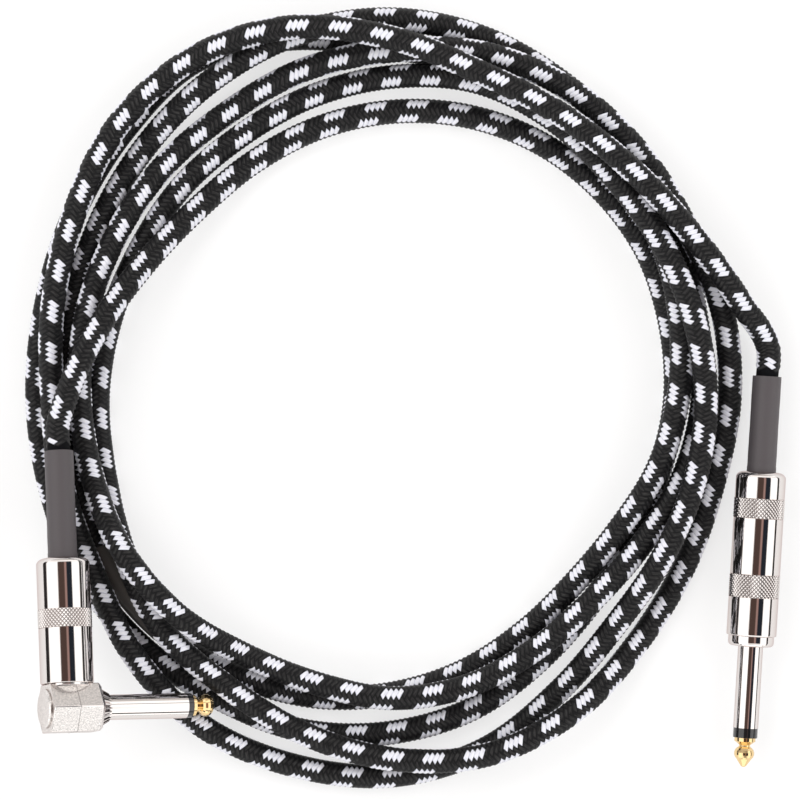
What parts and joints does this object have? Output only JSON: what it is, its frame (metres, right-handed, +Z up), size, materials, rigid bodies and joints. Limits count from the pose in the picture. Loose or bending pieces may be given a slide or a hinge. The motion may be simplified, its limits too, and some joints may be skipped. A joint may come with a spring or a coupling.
{
  "type": "instrument cable",
  "caption": "Coiled braided instrument cable with a straight phone plug on one end and a right-angle phone plug on the other.",
  "frame": {"origin": "on the resting surface, under the middle of the box round the two plugs, without the loops and the marker sleeve", "axes": "+X across the coil from the right-angle plug to the straight plug, +Y from the plugs' tips towards the loops' far side, +Z up from the surface that the coil lies on"},
  "size_m": [0.1937, 0.1986, 0.0341],
  "materials": {
    "cord": "rubber-jacketed cable in a tight woven braid, black with white stitches in regular patches",
    "braid": "woven, slightly glossy yarn, black with white stitches in regular patches",
    "marker": "plain dark sleeve, satin",
    "heat_shrink": "dark warm grey, matt",
    "nickel": "bright nickel plate, turned and knurled",
    "cast_nickel": "nickel plate on a casting, faintly textured",
    "tip": "polished gold-coloured plate",
    "insulator": "black, glossy",
    "liner": "clear plastic",
    "fibre": "pressed fibre",
    "tag": "tinned",
    "core_insulation": "white, satin",
    "shield": "bare twisted copper",
    "solder": "bright solder"
  },
  "bodies": {
    "cable_and_contacts": {"cable_coil": "cord", "marker_sleeve": "marker", "straight_heat_shrink": "heat_shrink", "straight_body": "nickel", "straight_insulator_ring": "insulator", "straight_tip": "tip", "straight_rear_insulator": "fibre", "straight_ground_tag": "tag", "straight_tip_tag": "tag", "straight_jacket_end": "braid", "straight_core_wire": "core_insulation", "straight_shield_pigtail": "shield", "straight_solder": "solder", "angle_heat_shrink": "heat_shrink", "angle_elbow": "cast_nickel", "angle_rear_cap": "cast_nickel", "angle_shaft": "nickel", "angle_insulator_ring": "insulator", "angle_tip": "tip", "angle_rear_insulator": "fibre", "angle_ground_tag": "tag", "angle_tip_tag": "tag", "angle_jacket_end": "braid", "angle_core_wire": "core_insulation", "angle_shield_pigtail": "shield", "angle_solder": "solder"},
    "straight_liner_tube": {"straight_liner": "liner"},
    "straight_screw_barrel": {"straight_barrel": "nickel"},
    "angle_liner_tube": {"angle_liner": "liner"},
    "angle_screw_barrel": {"angle_barrel": "nickel"}
  },
  "joints": [
    {"name": "straight_barrel_slide", "type": "slide", "parent": "cable_and_contacts", "child": "straight_liner_tube", "axis": [0.061, 0.9981, 0], "range_m": [0, 0.02]},
    {"name": "straight_barrel_turn", "type": "hinge", "parent": "straight_liner_tube", "child": "straight_screw_barrel", "pos_m": [0.08583, -0.019, 0.00647], "axis": [0.061, 0.9981, 0], "continuous": true},
    {"name": "angle_barrel_slide", "type": "slide", "parent": "cable_and_contacts", "child": "angle_liner_tube", "axis": [-0.0467, 0.9901, -0.1323], "range_m": [0, 0.014]},
    {"name": "angle_barrel_turn", "type": "hinge", "parent": "angle_liner_tube", "child": "angle_screw_barrel", "pos_m": [-0.08597, -0.0333, 0.0255], "axis": [-0.0467, 0.9901, -0.1323], "continuous": true}
  ]
}
